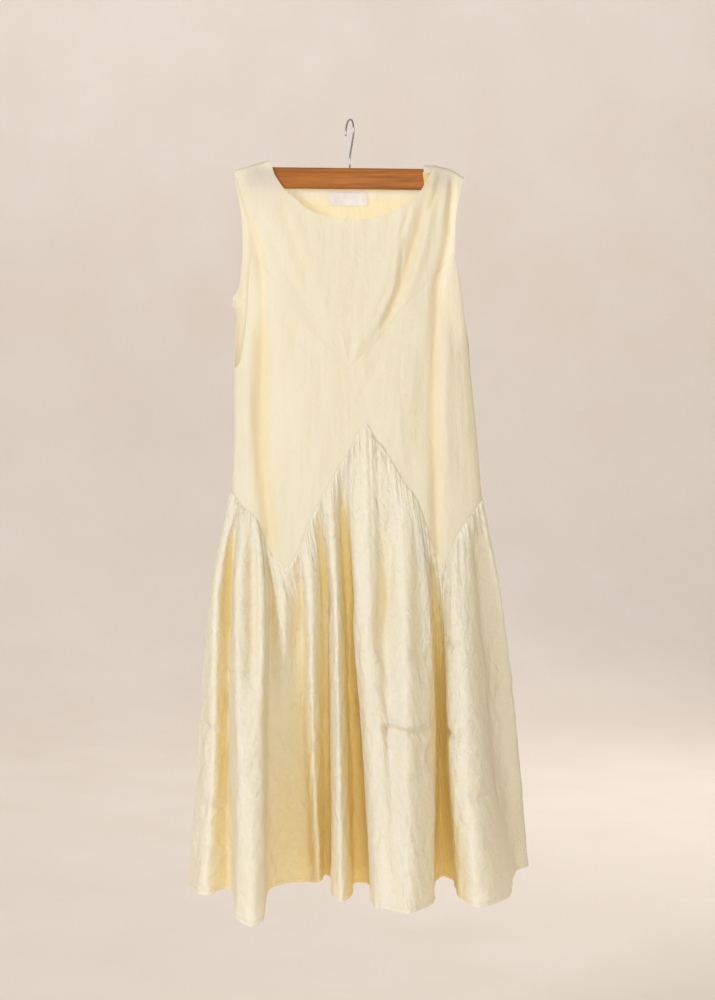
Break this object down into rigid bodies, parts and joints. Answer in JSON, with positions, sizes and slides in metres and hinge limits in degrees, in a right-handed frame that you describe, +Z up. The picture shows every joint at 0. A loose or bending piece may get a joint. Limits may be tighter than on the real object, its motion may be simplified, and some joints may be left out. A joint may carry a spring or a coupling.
{
  "type": "sleeveless midi dress on a straight wooden hanger",
  "caption": "Sleeveless midi dress in thin pale cotton with a scoop neck, V yoke seam, zigzag waist seam and gathered skirt, hung on a straight wooden hanger with a wire hook.",
  "frame": {"origin": "point on the underside of the hook's crown that rests on a rail", "axes": "+Z up; the dress front faces -Y; +X is to the right of someone who looks at the front"},
  "size_m": [0.547, 0.3154, 1.2308],
  "materials": {
    "cotton": "matt thin woven cotton",
    "label_satin": "smooth satin ribbon",
    "bar_wood": "satin clear lacquer",
    "hook_steel": "drawn steel wire"
  },
  "bodies": {
    "root": {"front_yoke": "cotton", "front_panel_left": "cotton", "front_panel_right": "cotton", "back_bodice": "cotton", "front_skirt": "cotton", "back_skirt": "cotton", "neck_label": "label_satin", "hanger_bar": "bar_wood", "hanger_hook": "hook_steel"}
  },
  "joints": []
}
